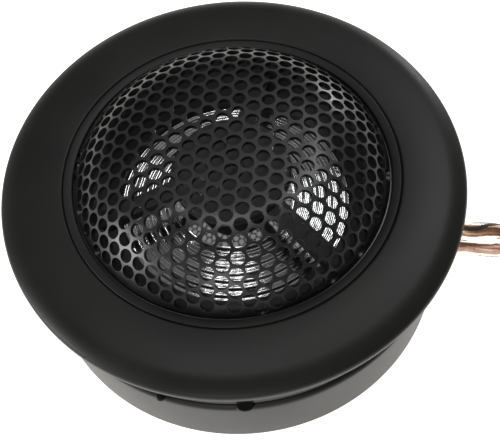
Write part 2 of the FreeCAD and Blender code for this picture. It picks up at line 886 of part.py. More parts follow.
def twin_section(wall, x):
    """The twin lead's outline across (y, z), grown by wall, as a wire at x."""
    side, height = S.core_radius.number, S.outlet_height.number
    half = side + wall
    low, high = height - half, height + half
    return Part.Wire([
        Part.LineSegment(Vector(x, -side, low), Vector(x, side, low)).toShape(),
        Part.Arc(Vector(x, side, low), Vector(x, side + half, height), Vector(x, side, high)).toShape(),
        Part.LineSegment(Vector(x, side, high), Vector(x, -side, high)).toShape(),
        Part.Arc(Vector(x, -side, high), Vector(x, -side - half, height), Vector(x, -side, low)).toShape(),
    ])


def make_cable_grommet():
    face, wall = S.grommet_face.number, S.grommet_wall.number

    def prism(grow, start):
        section = Part.Face(twin_section(grow, start))
        return section.extrude(Vector(face - start, 0, 0))

    collar = prism(2 * wall, S.cup_bore.number)
    collar = collar.cut(Part.makeCylinder(S.cup_radius.number, S.parting_height.number))
    sleeve = prism(wall, S.cup_bore.number - 0.4)
    add_shape("cable_grommet", sleeve.fuse(collar).removeSplitter().cut(prism(0, 10.0)))


LEAD_ROUTE = [
    (24.2, 0.0, 2.6),
    (29.6, 0.1, 1.45),
    (35.2, -0.25, 1.06),
    (42.0, -1.2, 1.1),
    (49.5, -1.5, 1.5),
    (56.5, -2.3, 2.1),
]


def make_cable():
    """The stretch of twin lead between the cup and its coil."""
    path, radii = bent_path(LEAD_ROUTE)
    side = S.core_radius.number
    section = twin_section(0.0, LEAD_ROUTE[0][0])
    sweep = Part.BRepOffsetAPI.MakePipeShell(path)
    sweep.setBiNormalMode(Vector(0, 0, 1))
    sweep.add(section)
    sweep.build()
    sweep.makeSolid()
    solid = Part.Solid(sweep.shape())
    add_shape("cable", solid)
    area = math.pi * side ** 2 + 4 * side ** 2
    print("cable radii", [round(r, 1) for r in radii])
    print("cable volume", round(solid.Volume, 1), "section x length", round(area * path.Length, 1))


def make_cable_coil():
    """The rest of the lead, wound on edge into a flat coil and tied."""
    middle = Vector(S.coil_centre_x.number, S.coil_centre_y.number, S.tie_sheet.number)
    inner, outer = S.coil_inner.number, S.coil_outer.number
    height = 4 * S.core_radius.number + 0.1
    ring = Part.makeCylinder(outer, height, middle).cut(Part.makeCylinder(inner, height, middle))
    ring = ring.makeFillet(0.9, [e for e in ring.Edges if e.Length > 2 * math.pi * inner - 1])
    add_shape("cable_coil", ring)

    wall, wide = S.tie_sheet.number, S.tie_width.number
    radial = outer - inner
    slack = 0.08
    across = radial + slack + 2 * wall
    corner = Vector(-wall - slack, -wide / 2, -wall)
    hoop = Part.makeBox(across, wide, height + 2 * wall, corner)
    hoop = hoop.makeFillet(0.9, [e for e in hoop.Edges if e.BoundBox.YLength > 0.9 * wide])
    window = Part.makeBox(radial + slack, wide, height, Vector(-slack, -wide / 2, 0))
    hoop = hoop.cut(window)
    head = Part.makeBox(1.6, wide + 1.4, 3.0, Vector(radial + wall, -wide / 2 - 0.7, 0.9))
    tie = hoop.fuse(head).removeSplitter()
    tie.translate(middle + Vector(inner, 0, 0))
    add_shape("cable_tie", tie)


def make_bare_ends():
    """Both cores' stripped and tinned ends, inside the coil."""
    inner = S.coil_inner.number
    start = Vector(S.coil_centre_x.number, S.coil_centre_y.number - inner + 0.25, 0)
    direction = Vector(-math.cos(math.radians(14)), math.sin(math.radians(14)), 0)
    side, low = S.core_radius.number, S.tie_sheet.number
    ends = []
    for height in (low + side, low + 3 * side):
        ends.append(Part.makeCylinder(0.45, 8.0, start + Vector(0, 0, height), direction))
    add_shape("bare_ends", Part.makeCompound(ends))


# ---- Build, check and write ---------------------------------------------------------------------


def build():
    make_trim_ring()
    make_rear_cup()
    make_capsule_bezel()
    make_grille()
    make_grille_gasket()
    make_phase_plug()
    make_dome()
    make_surround()
    make_moving_coil()
    make_diaphragm_ring()
    make_motor()
    make_driver_frame()
    make_frame_screws()
    make_terminals()
    make_coil_leads()
    make_capacitor()
    make_lead_cores()
    make_solder_joints()
    make_cable_grommet()
    make_cable()
    make_cable_coil()
    make_bare_ends()
    doc.recompute()
    for item in doc.Objects:
        if {"Invalid", "Error"} & set(item.State):
            raise RuntimeError(f"{item.Label} failed: {item.State}")
    os.makedirs("parts", exist_ok=True)
    for label, item in parts.items():
        shape = item.Shape
        if shape.isNull() or not shape.isValid() or not shape.Solids:
            raise RuntimeError(f"{label} has no valid solid")
        box = shape.BoundBox
        print(f"{label:20s} {len(shape.Solids)} solid  {shape.Volume:9.2f} mm3  "
              f"x {box.XMin:.2f}..{box.XMax:.2f}  y {box.YMin:.2f}..{box.YMax:.2f}  "
              f"z {box.ZMin:.2f}..{box.ZMax:.2f}")
        shape.exportStep(f"parts/{label}.step")


build()
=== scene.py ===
# %% [markdown]
# # A car tweeter, piece by piece
#
# This notebook dresses a small round car speaker. The engineering model comes
# in first and stays where it is: it says how big every part is and what moves.
# Each cell then makes one piece as the real one is made, out of simple mesh
# operators, and gives it the finish that the maker would have given it.

# %% Load the frame
import math

import bmesh
import bpy
from mathutils import Matrix, Vector
from mathutils.kdtree import KDTree


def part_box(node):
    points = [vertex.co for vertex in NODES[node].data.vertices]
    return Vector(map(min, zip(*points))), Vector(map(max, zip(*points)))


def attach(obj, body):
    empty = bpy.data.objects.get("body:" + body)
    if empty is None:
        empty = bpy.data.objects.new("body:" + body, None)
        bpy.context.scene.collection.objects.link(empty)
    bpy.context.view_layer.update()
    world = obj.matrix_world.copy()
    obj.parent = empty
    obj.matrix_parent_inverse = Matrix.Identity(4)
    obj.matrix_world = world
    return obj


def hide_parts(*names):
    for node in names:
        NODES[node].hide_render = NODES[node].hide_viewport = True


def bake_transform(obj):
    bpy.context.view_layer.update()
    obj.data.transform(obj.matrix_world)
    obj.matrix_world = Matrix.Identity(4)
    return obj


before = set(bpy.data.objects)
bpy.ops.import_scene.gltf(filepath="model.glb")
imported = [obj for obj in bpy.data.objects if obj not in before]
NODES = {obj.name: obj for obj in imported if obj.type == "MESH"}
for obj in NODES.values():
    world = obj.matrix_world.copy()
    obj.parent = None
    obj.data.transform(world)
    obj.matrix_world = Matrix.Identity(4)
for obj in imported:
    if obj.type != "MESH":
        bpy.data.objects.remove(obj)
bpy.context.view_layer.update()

MM = 0.001

# %% [markdown]
# ## Reading the sizes
#
# A part is easier to keep right when its sizes are read from the model than
# when they are typed twice. Each reading below is a radius or a height of one
# engineering part, in millimetres, because that is how such a part is drawn.

# %% Sizes from the model


def radius_of(node):
    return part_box(node)[1][0] / MM


def low_of(node):
    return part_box(node)[0][2] / MM


def high_of(node):
    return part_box(node)[1][2] / MM


FLANGE_R = radius_of("trim_ring")
CUP_R = radius_of("rear_cup")
PARTING = low_of("trim_ring")
BEZEL_TOP = high_of("capsule_bezel")
BEZEL_LOW = low_of("capsule_bezel")
BEZEL_R = radius_of("capsule_bezel")
GRILLE_TOP = high_of("grille")
FOOT_R = radius_of("grille")
FOOT_LOW = low_of("grille")
FILM_STEP = 0.12
CLAMP = high_of("diaphragm_ring") + FILM_STEP
SEAT_R = radius_of("diaphragm_ring")
DOME_R = radius_of("dome")
DOME_EDGE = high_of("coil_former") + FILM_STEP
DOME_TOP = high_of("dome")
SPIGOT_TOP = high_of("rear_cup")
GROMMET_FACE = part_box("cable_grommet")[1][0] / MM
print("flange", FLANGE_R, "cup", CUP_R, "grille top", GRILLE_TOP, "dome", DOME_R)

# %% [markdown]
# ## The camera
#
# A small product is often shot close up and from above, so that the near side
# of its round face looks larger than the far side. The camera is placed by its
# compass direction, its height above the horizon and its distance, then turned
# a little on its own axes to frame the object.

# %% Camera
AZIMUTH = math.radians(8.0)
ELEVATION = math.radians(57.08)
REACH = 96.93 * MM
PAN, TILT, ROLL = -0.0135, 0.0529, 0.1363
LENS, SENSOR = 64.8, 36.0
AIM_HEIGHT = 17.3 * MM


def place_camera():
    aim = Vector((0, 0, AIM_HEIGHT))
    turn = Matrix.Rotation(AZIMUTH, 3, "Z")
    right = turn @ Vector((1, 0, 0))
    ahead = turn @ Vector((0, math.cos(ELEVATION), -math.sin(ELEVATION)))
    up = right.cross(ahead)
    place = aim - ahead * REACH
    right, ahead = (
        math.cos(PAN) * right + math.sin(PAN) * ahead,
        math.cos(PAN) * ahead - math.sin(PAN) * right,
    )
    up, ahead = (
        math.cos(TILT) * up + math.sin(TILT) * ahead,
        math.cos(TILT) * ahead - math.sin(TILT) * up,
    )
    right, up = (
        math.cos(ROLL) * right - math.sin(ROLL) * up,
        math.sin(ROLL) * right + math.cos(ROLL) * up,
    )
    data = bpy.data.cameras.new("camera")
    data.sensor_width, data.lens = SENSOR, LENS
    data.clip_start, data.clip_end = 0.001, 10.0
    camera = bpy.data.objects.new("camera", data)
    bpy.context.scene.collection.objects.link(camera)
    camera.matrix_world = Matrix((right, up, -ahead)).transposed().to_4x4()
    camera.location = place
    bpy.context.scene.camera = camera


place_camera()
print("camera at mm", [round(c / MM, 1) for c in bpy.context.scene.camera.location])

# %% [markdown]
# ## Material helpers
#
# Every finish is a Principled shader with a few procedural textures round it.
# Two effects turn up in many finishes, so they are node groups: the fine skin
# that a mould or a powder coat leaves, and the stray dust that settles on dark
# plastic. A group gives out only values that vary over the surface.

# %% Node helpers


def link(tree, start, finish):
    tree.links.new(start, finish)


def new_group(name, inputs, outputs):
    """A shader node group with named inputs (with a start value) and outputs."""
    group = bpy.data.node_groups.new(name, "ShaderNodeTree")
    for label, kind, value in inputs:
        socket = group.interface.new_socket(label, in_out="INPUT", socket_type=kind)
        if value is not None:
            socket.default_value = value
    for label, kind in outputs:
        group.interface.new_socket(label, in_out="OUTPUT", socket_type=kind)
    return group, group.nodes.new("NodeGroupInput"), group.nodes.new("NodeGroupOutput")


def add_math(tree, kind, first, second):
    """A Math node. Each operand is a socket or a plain number."""
    node = tree.nodes.new("ShaderNodeMath")
    node.operation = kind
    for socket, value in zip(node.inputs, (first, second)):
        if isinstance(value, (int, float)):
            socket.default_value = value
        else:
            link(tree, value, socket)
    return node.outputs[0]


def add_range(tree, value, low, high, to_low, to_high):
    node = tree.nodes.new("ShaderNodeMapRange")
    link(tree, value, node.inputs["Value"])
    for label, number in (("From Min", low), ("From Max", high),
                          ("To Min", to_low), ("To Max", to_high)):
        if isinstance(number, (int, float)):
            node.inputs[label].default_value = number
        else:
            link(tree, number, node.inputs[label])
    return node.outputs["Result"]


def add_noise(tree, place, scale, detail=3.0, roughness=0.55):
    node = tree.nodes.new("ShaderNodeTexNoise")
    node.inputs["Detail"].default_value = detail
    node.inputs["Roughness"].default_value = roughness
    if isinstance(scale, (int, float)):
        node.inputs["Scale"].default_value = scale
    else:
        link(tree, scale, node.inputs["Scale"])
    link(tree, place, node.inputs["Vector"])
    return node.outputs["Fac"]


# %% Groups that several finishes share


def make_skin_group():
    """Fine grain with slow patches: the surface that moulding or coating leaves."""
    group, given, out = new_group(
        "moulded_skin",
        [("Place", "NodeSocketVector", None), ("Grain Scale", "NodeSocketFloat", 9000.0),
         ("Patch Scale", "NodeSocketFloat", 120.0), ("Roughness", "NodeSocketFloat", 0.5),
         ("Variation", "NodeSocketFloat", 0.1)],
        [("Height", "NodeSocketFloat"), ("Roughness", "NodeSocketFloat"),
         ("Patch", "NodeSocketFloat")],
    )
    fine = add_noise(group, given.outputs["Place"], given.outputs["Grain Scale"])
    slow = add_noise(group, given.outputs["Place"], given.outputs["Patch Scale"], 4.0, 0.6)
    centred = add_math(group, "SUBTRACT", slow, 0.5)
    spread = add_math(group, "MULTIPLY", centred, given.outputs["Variation"])
    link(group, fine, out.inputs["Height"])
    link(group, add_math(group, "ADD", given.outputs["Roughness"], spread),
         out.inputs["Roughness"])
    link(group, slow, out.inputs["Patch"])
    return group


def make_dust_group():
    """Stray specks: 1 on a speck, 0 between."""
    group, given, out = new_group(
        "stray_dust",
        [("Place", "NodeSocketVector", None), ("Spacing", "NodeSocketFloat", 350.0),
         ("Size", "NodeSocketFloat", 0.035), ("Share", "NodeSocketFloat", 0.25)],
        [("Speck", "NodeSocketFloat")],
    )
    cells = group.nodes.new("ShaderNodeTexVoronoi")
    link(group, given.outputs["Place"], cells.inputs["Vector"])
    link(group, given.outputs["Spacing"], cells.inputs["Scale"])
    near = add_math(group, "LESS_THAN", cells.outputs["Distance"], given.outputs["Size"])
    split = group.nodes.new("ShaderNodeSeparateColor")
    link(group, cells.outputs["Color"], split.inputs["Color"])
    chosen = add_math(group, "LESS_THAN", split.outputs["Red"], given.outputs["Share"])
    link(group, add_math(group, "MULTIPLY", near, chosen), out.inputs["Speck"])
    return group


SKIN = make_skin_group()
DUST = make_dust_group()
print("groups", SKIN.name, DUST.name)

# %% Building a material
MATERIALS = {}


def new_material(name, color, roughness, metallic=0.0, specular=0.5):
    """A Principled material with its even values set on the shader's own sockets."""
    material = bpy.data.materials.new(name)
    material.use_nodes = True
    tree = material.node_tree
    shader = tree.nodes["Principled BSDF"]
    shader.inputs["Base Color"].default_value = (*color, 1.0)
    shader.inputs["Roughness"].default_value = roughness
    shader.inputs["Metallic"].default_value = metallic
    shader.inputs["Specular IOR Level"].default_value = specular
    MATERIALS[name] = material
    return tree, shader


def object_place(tree):
    """Coordinates that stay with the piece as it moves."""
    return tree.nodes.new("ShaderNodeTexCoord").outputs["Object"]


def use_group(tree, group, place, **values):
    node = tree.nodes.new("ShaderNodeGroup")
    node.node_tree = group
    link(tree, place, node.inputs["Place"])
    for label, value in values.items():
        node.inputs[label.replace("_", " ")].default_value = value
    return node


def bump_from(tree, shader, height, strength, depth):
    bump = tree.nodes.new("ShaderNodeBump")
    bump.inputs["Strength"].default_value = strength
    bump.inputs["Distance"].default_value = depth
    link(tree, height, bump.inputs["Height"])
    link(tree, bump.outputs["Normal"], shader.inputs["Normal"])


def mix_colors(tree, mask, first, second):
    """first where mask is 0, second where it is 1."""
    mix = tree.nodes.new("ShaderNodeMix")
    mix.data_type = "RGBA"
    link(tree, mask, mix.inputs["Factor"])
    for label, color in (("A", first), ("B", second)):
        socket = next(s for s in mix.inputs if s.name == label and s.type == "RGBA")
        if isinstance(color, tuple):
            socket.default_value = (*color, 1.0)
        else:
            link(tree, color, socket)
    return next(s for s in mix.outputs if s.type == "RGBA")


DUST_COLOR = (0.30, 0.29, 0.27)
PATCH_EDGES = (0.35, 0.65)
GRAIN_STRENGTH = 0.25


def moulded(name, dark, light, roughness, grain=9000.0, depth=0.004, variation=0.12,
            dust=0.0, metallic=0.0, specular=0.5):
    """A finish with fine grain, slow patches between two tones and maybe dust."""
    tree, shader = new_material(name, dark, roughness, metallic, specular)
    place = object_place(tree)
    skin = use_group(tree, SKIN, place, Grain_Scale=grain, Roughness=roughness,
                     Variation=variation)
    patch = add_range(tree, skin.outputs["Patch"], *PATCH_EDGES, 0.0, 1.0)
    color = mix_colors(tree, patch, dark, light)
    if dust:
        specks = use_group(tree, DUST, place, Share=dust)
        color = mix_colors(tree, specks.outputs["Speck"], color, DUST_COLOR)
    link(tree, color, shader.inputs["Base Color"])
    link(tree, skin.outputs["Roughness"], shader.inputs["Roughness"])
    bump_from(tree, shader, skin.outputs["Height"], GRAIN_STRENGTH, depth * MM)
    return tree, shader


# %% [markdown]
# ## Finishes
#
# The housing is moulded plastic with a fine matt skin. The grille has a harder,
# glossier powder coat. The diaphragm is metallised film, so it is a metal to
# the shader, polished enough to mirror the holes above it.

# %% Plastics and coatings
moulded("housing_plastic", (0.0085, 0.0085, 0.008), (0.0115, 0.0114, 0.0105), 0.40,
        grain=4200.0, depth=0.012, dust=0.10, specular=0.22)
moulded("bezel_plastic", (0.0075, 0.0075, 0.0072), (0.0105, 0.0105, 0.0098), 0.42,
        grain=4200.0, depth=0.010, dust=0.08, specular=0.20)
moulded("grille_paint", (0.006, 0.006, 0.006), (0.009, 0.009, 0.009), 0.32,
        grain=5200.0, depth=0.006, variation=0.1)
moulded("inner_plastic", (0.010, 0.010, 0.010), (0.015, 0.015, 0.015), 0.55)
moulded("foam", (0.012, 0.012, 0.012), (0.022, 0.022, 0.022), 0.95, 2600.0, 0.05)
moulded("felt", (0.045, 0.045, 0.05), (0.09, 0.09, 0.095), 1.0, 3000.0, 0.06)
moulded("grommet_rubber", (0.014, 0.014, 0.014), (0.022, 0.022, 0.022), 0.62)
moulded("tie_nylon", (0.02, 0.02, 0.02), (0.03, 0.03, 0.03), 0.38)
moulded("fibre_board", (0.25, 0.13, 0.06), (0.38, 0.22, 0.11), 0.6, 1500.0, 0.01)
moulded("capacitor_sleeve", (0.02, 0.04, 0.16), (0.03, 0.055, 0.2), 0.25)

# %% Metals
moulded("plated_steel", (0.42, 0.42, 0.4), (0.56, 0.56, 0.54), 0.34, metallic=1.0)
moulded("magnet_plating", (0.55, 0.54, 0.5), (0.66, 0.65, 0.6), 0.2, metallic=1.0)
moulded("screw_steel", (0.05, 0.05, 0.052), (0.09, 0.09, 0.09), 0.36, metallic=1.0)
moulded("tinned_brass", (0.6, 0.59, 0.55), (0.72, 0.71, 0.68), 0.3, metallic=1.0)
moulded("solder", (0.5, 0.5, 0.51), (0.66, 0.66, 0.66), 0.22, metallic=1.0)
moulded("former_foil", (0.65, 0.65, 0.66), (0.75, 0.75, 0.76), 0.3, metallic=1.0)
moulded("diaphragm_foil", (0.80, 0.81, 0.82), (0.90, 0.90, 0.91), 0.09,
        grain=1500.0, depth=0.003, variation=0.05, metallic=1.0)


# %% [markdown]
# ## Turning helpers
#
# Most of this object is round, and round parts are turned or moulded to a
# profile. The profile is drawn as a few corners in radius and height, an edge
# between two corners may be an arc, and the spin operator sweeps it round. A
# narrow bevel afterwards stands for the radius that no real edge is without.

# %% Outlines with arcs


def arc_points(start, finish, bend, count=10):
    """Points between two corners on an arc; a positive bend turns left."""
    chord = finish - start
    reach = math.sqrt(bend * bend - (chord.length / 2) ** 2)
    left = Vector((-chord.y, chord.x)).normalized()
    centre = (start + finish) / 2 + left * math.copysign(reach, bend)
    spoke = start - centre
    sweep = 2 * math.asin(chord.length / 2 / abs(bend)) * (1 if bend > 0 else -1)
    found = []
    for k in range(1, count):
        angle = sweep * k / count
        turn = Matrix.Rotation(angle, 2)
        found.append(centre + turn @ spoke)
    return found


def outline_places(corners, count=10):
    """All points of a closed outline of (radius, height[, bend]) corners, in mm."""
    found = []
    for k, corner in enumerate(corners):
        here = Vector(corner[:2])
        if len(corner) == 3:
            found += arc_points(Vector(corners[k - 1][:2]), here, corner[2], count)
        found.append(here)
    return found


# %% Turning an outline into a piece
SHARP = 38.0
WELD = 1e-7


def shade(mesh, sharp=SHARP):
    """Smooth shading, with edges over an angle in degrees left sharp."""
    mesh.shade_smooth()
    mesh.set_sharp_from_angle(angle=math.radians(sharp))


def finish_mesh(bm, name, material, body="housing", sharp=SHARP):
    """Turns a bmesh into a shaded object that rides a body, if one is named."""
    bmesh.ops.remove_doubles(bm, verts=bm.verts, dist=WELD)
    bmesh.ops.recalc_face_normals(bm, faces=bm.faces)
    mesh = bpy.data.meshes.new(name)
    bm.to_mesh(mesh)
    bm.free()
    shade(mesh, sharp)
    piece = bpy.data.objects.new(name, mesh)
    bpy.context.scene.collection.objects.link(piece)
    mesh.materials.append(MATERIALS[material])
    if body:
        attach(piece, body)
    print(name, len(mesh.polygons), "faces")
    return piece


def turned(name, corners, material, steps=240, count=10, body="housing",
           open_line=False):
    """Spins an outline once round the upright axis."""
    bm = bmesh.new()
    points = [bm.verts.new((p.x * MM, 0, p.y * MM)) for p in outline_places(corners, count)]
    for k, point in enumerate(points):
        on_axis = point.co.x < 1e-9 and points[k - 1].co.x < 1e-9
        if not on_axis and not (open_line and k == 0):
            bm.edges.new((points[k - 1], point))
    bmesh.ops.spin(bm, geom=list(bm.verts) + list(bm.edges), cent=(0, 0, 0), axis=(0, 0, 1),
                   angle=2 * math.pi, steps=steps, use_merge=True)
    return finish_mesh(bm, name, material, body)


def soften(piece, width, segments=2, angle=SHARP):
    """Rounds every edge over an angle in degrees to a width in mm."""
    edge = piece.modifiers.new("soft edges", "BEVEL")
    edge.width = width * MM
    edge.segments = segments
    edge.limit_method = "ANGLE"
    edge.angle_limit = math.radians(angle)
    edge.harden_normals = True
    return piece


# %% Cutting


def cut_with(piece, tools):
    """Cuts tool meshes out of a piece, keeps the result as its mesh, shades it."""
    for tool in tools:
        cut = piece.modifiers.new("cut", "BOOLEAN")
        cut.operation, cut.solver, cut.object = "DIFFERENCE", "EXACT", tool
    shown = piece.evaluated_get(bpy.context.evaluated_depsgraph_get())
    mesh = bpy.data.meshes.new_from_object(shown)
    mesh.name = piece.name
    piece.modifiers.clear()
    old, piece.data = piece.data, mesh
    bpy.data.meshes.remove(old)
    for tool in tools:
        bpy.data.objects.remove(tool)
    shade(piece.data)
    return piece


def tool_mesh(bm, name):
    """A bmesh as a plain object to cut with."""
    mesh = bpy.data.meshes.new(name)
    bm.to_mesh(mesh)
    bm.free()
    tool = bpy.data.objects.new(name, mesh)
    bpy.context.scene.collection.objects.link(tool)
    return tool


# %% [markdown]
# ## The trim ring
#
# The wide flange covers the edge of the hole in the car's panel. Its face is
# nearly flat by the grille and rolls over towards the rim, which catches a
# long soft highlight. Below it, a plain neck drops into the panel.

# %% Trim ring
RING_IN, LEDGE = 18.15, 16.0
NECK_IN, NECK_OUT = 21.7, 23.0
GROOVE_R = NECK_IN + 0.25
SNAP = PARTING + 1.0
UNDERSIDE, FACE = 16.4, 18.08
SOFT_EDGE = 0.06


def make_trim_ring():
    rim = FLANGE_R
    ring = turned("trim_ring_shell", [
        (RING_IN, LEDGE), (NECK_IN, LEDGE), (NECK_IN, SNAP + 0.45),
        (GROOVE_R, SNAP + 0.2), (GROOVE_R, SNAP - 0.2), (NECK_IN, SNAP - 0.45),
        (NECK_IN, PARTING), (NECK_OUT - 0.25, PARTING), (NECK_OUT, PARTING + 0.25, 0.25),
        (NECK_OUT, UNDERSIDE - 0.3), (NECK_OUT + 0.3, UNDERSIDE, -0.3),
        (rim - 0.2, UNDERSIDE), (rim, UNDERSIDE + 0.2, 0.2), (rim, 17.0),
        (rim - 0.3, 17.45, 0.6), (22.6, FACE, 4.5), (RING_IN + 0.25, FACE - 0.01, 25.0),
        (RING_IN, 17.9, 0.3),
    ], "housing_plastic")
    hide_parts("trim_ring")
    return soften(ring, SOFT_EDGE)


make_trim_ring()

# %% [markdown]
# ## The rear cup
#
# The cup snaps on from behind. Its top edge is rolled, so a soft band of light
# runs just under the dark parting line. The floor has two screw holes, and
# the lead leaves through a slot low in the wall.

# %% Tools that cut the cup
LEAD_R = 1.05
SLOT_SIDES, HOLE_SIDES = 32, 48


def slot_tool(name, wall, x_low, x_high, height):
    """A prism with the twin lead's rounded section and a margin, along X."""
    bm = bmesh.new()
    half = LEAD_R + wall
    for k in range(SLOT_SIDES):
        angle = 2 * math.pi * k / SLOT_SIDES
        over = LEAD_R if math.cos(angle) >= 0 else -LEAD_R
        y = over + half * math.cos(angle)
        z = height + half * math.sin(angle)
        bm.verts.new((x_low * MM, y * MM, z * MM))
    face = bm.faces.new(bm.verts)
    grown = bmesh.ops.extrude_face_region(bm, geom=[face])
    fresh = [v for v in grown["geom"] if isinstance(v, bmesh.types.BMVert)]
    bmesh.ops.translate(bm, verts=fresh, vec=((x_high - x_low) * MM, 0, 0))
    bmesh.ops.recalc_face_normals(bm, faces=bm.faces)
    return tool_mesh(bm, name)


def hole_tool(name, x, y, radius, low, high):
    """An upright cylinder between two heights."""
    bm = bmesh.new()
    bmesh.ops.create_cone(bm, cap_ends=True, segments=HOLE_SIDES, radius1=radius * MM,
                          radius2=radius * MM, depth=(high - low) * MM)
    bmesh.ops.translate(bm, verts=bm.verts, vec=(x * MM, y * MM, (high + low) / 2 * MM))
    return tool_mesh(bm, name)


# %% Rear cup
FLOOR, WALL_IN = 1.2, 21.6
SPIGOT_IN, SPIGOT_OUT = 20.6, 21.65
BEAD_R = SPIGOT_OUT + 0.2
FOOT_ROUND, SHOULDER_ROUND = 0.6, 0.7
OUTLET_HEIGHT, OUTLET_MARGIN = 2.6, 0.6
MOUNTING_OFFSET, MOUNTING_R = 18.0, 1.6


def make_rear_cup():
    shoulder = PARTING - 0.2
    cup = turned("rear_cup_shell", [
        (0, 0), (CUP_R - FOOT_ROUND, 0), (CUP_R, FOOT_ROUND, FOOT_ROUND),
        (CUP_R, shoulder - 1.5), (CUP_R, shoulder - SHOULDER_ROUND),
        (CUP_R - SHOULDER_ROUND, shoulder, SHOULDER_ROUND), (SPIGOT_OUT, shoulder),
        (SPIGOT_OUT, SNAP - 0.35), (BEAD_R, SNAP - 0.15), (BEAD_R, SNAP + 0.15),
        (SPIGOT_OUT, SNAP + 0.35), (SPIGOT_OUT, SPIGOT_TOP), (SPIGOT_IN, SPIGOT_TOP),
        (SPIGOT_IN, 8.9), (WALL_IN, 7.9), (WALL_IN, FLOOR), (0, FLOOR),
    ], "housing_plastic", steps=192)
    tools = [slot_tool("outlet", OUTLET_MARGIN, SPIGOT_IN, CUP_R + 1.0, OUTLET_HEIGHT)]
    for side in (1, -1):
        tools.append(hole_tool("hole", 0, MOUNTING_OFFSET * side, MOUNTING_R, -1, 2))
    cut_with(cup, tools)
    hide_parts("rear_cup")
    return soften(cup, SOFT_EDGE)


make_rear_cup()

# %% [markdown]
# ## Latches in the parting line
#
# Small moulded noses reach down from the ring into the cup's top edge. A nose
# is a flattened ball with its top cut flat under the ring, so it starts as a
# sphere, is scaled and trimmed, and the edge of the cut is bevelled.

# %% Latches
LATCHES = ((-86.5, 0.95, 0.42), (-108.3, 0.55, 0.32))
LATCH_R, LATCH_LOW = CUP_R - 0.1, PARTING + 0.1
LATCH_DEPTH, LATCH_CUT = 0.55, 0.2


def make_latches():
    for k, (azimuth, half_width, half_height) in enumerate(LATCHES):
        bm = bmesh.new()
        bmesh.ops.create_uvsphere(bm, u_segments=28, v_segments=16, radius=1.0)
        bmesh.ops.scale(bm, verts=bm.verts,
                        vec=Vector((LATCH_DEPTH, half_width, half_height)) * MM)
        bmesh.ops.translate(bm, verts=bm.verts, vec=Vector((LATCH_R, 0, LATCH_LOW)) * MM)
        whole = [*bm.verts, *bm.edges, *bm.faces]
        trimmed = bmesh.ops.bisect_plane(
            bm, geom=whole, plane_co=(0, 0, (LATCH_LOW + LATCH_CUT) * MM),
            plane_no=(0, 0, 1), clear_outer=True, dist=WELD)
        cut = [g for g in trimmed["geom_cut"] if isinstance(g, bmesh.types.BMEdge)]
        bmesh.ops.contextual_create(bm, geom=cut)
        bmesh.ops.rotate(bm, verts=bm.verts, cent=(0, 0, 0),
                         matrix=Matrix.Rotation(math.radians(azimuth), 3, "Z"))
        nose = finish_mesh(bm, f"latch_{k + 1}", "housing_plastic", sharp=50)
        soften(nose, 0.05)


make_latches()

# %% [markdown]
# ## The bezel
#
# A thin ring holds the grille. What shows of it is the narrow sloping lip
# inside the flange's seam.

# %% Bezel
LIP_IN, LIP_OUT = 17.1, 18.1
SEAT_IN, SEAT_TOP = 17.6, 17.4
SCREW_CIRCLE, FIRST_SCREW, PILOT_R = 19.0, 28, 0.87
PILOT_LOW, PILOT_HIGH = 12.0, 15.7


def make_bezel():
    bezel = turned("capsule_bezel_shell", [
        (SEAT_IN, BEZEL_LOW), (BEZEL_R, BEZEL_LOW), (BEZEL_R, LEDGE), (LIP_OUT, LEDGE),
        (LIP_OUT, BEZEL_TOP - 0.1), (LIP_OUT - 0.15, BEZEL_TOP, 0.16),
        (LIP_IN + 0.15, BEZEL_TOP - 0.16), (LIP_IN, BEZEL_TOP - 0.33, 0.22),
        (LIP_IN, SEAT_TOP), (SEAT_IN, SEAT_TOP),
    ], "bezel_plastic")
    pilots = []
    for k in range(3):
        angle = math.radians(FIRST_SCREW + 120 * k)
        x, y = SCREW_CIRCLE * math.cos(angle), SCREW_CIRCLE * math.sin(angle)
        pilots.append(hole_tool("pilot", x, y, PILOT_R, PILOT_LOW, PILOT_HIGH))
    cut_with(bezel, pilots)
    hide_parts("capsule_bezel")
    return soften(bezel, 0.04)


make_bezel()

# %% [markdown]
# ## The grille
#
# Perforated steel is punched flat, in even rows, and pressed into a dome
# afterwards. The mesh is made the same way. One cell, a hexagon with a round
# hole, is repeated over a flat sheet, the sheet is trimmed round, and each
# point is then carried onto the dome. The holes keep their round shape, as
# punched holes do where the sheet is stiff, and the webs between them give.

# %% The dome's profile
PITCH = 1.784
HOLE_R = 0.72
ROW_TURN = math.radians(25.77)
ROW_SHIFT = Vector((0.525, -3.43, 0))
DRAW_SHRINK, DRAW_EASE, DRAW_REACH = 0.0702, 0.0303, 17.0
CROWN_BEND, CROWN_REACH = 330.0, 7.8
SHOULDER_BEND, SHOULDER_TURN = 10.55, math.radians(60.5)
EDGE_BEND = 0.9
SHEET = 0.5
FOOT = FOOT_LOW + SHEET
FOOT_BEND, HOLE_MARGIN = 0.12, 0.06
CROWN_TURN = math.asin(CROWN_REACH / CROWN_BEND)
CROWN_ARC = CROWN_BEND * CROWN_TURN
SHOULDER_ARC = CROWN_ARC + SHOULDER_BEND * (SHOULDER_TURN - CROWN_TURN)
EDGE_ARC = SHOULDER_ARC + EDGE_BEND * (math.pi / 2 - SHOULDER_TURN)


def bend_on(place, bend, start, finish):
    """The place (radius, height) after a bend from one lean to another."""
    return Vector((place.x + bend * (math.sin(finish) - math.sin(start)),
                   place.y - bend * (math.cos(start) - math.cos(finish))))


CROWN_END = bend_on(Vector((0, GRILLE_TOP)), CROWN_BEND, 0, CROWN_TURN)
SHOULDER_END = bend_on(CROWN_END, SHOULDER_BEND, CROWN_TURN, SHOULDER_TURN)
EDGE_END = bend_on(SHOULDER_END, EDGE_BEND, SHOULDER_TURN, math.pi / 2)


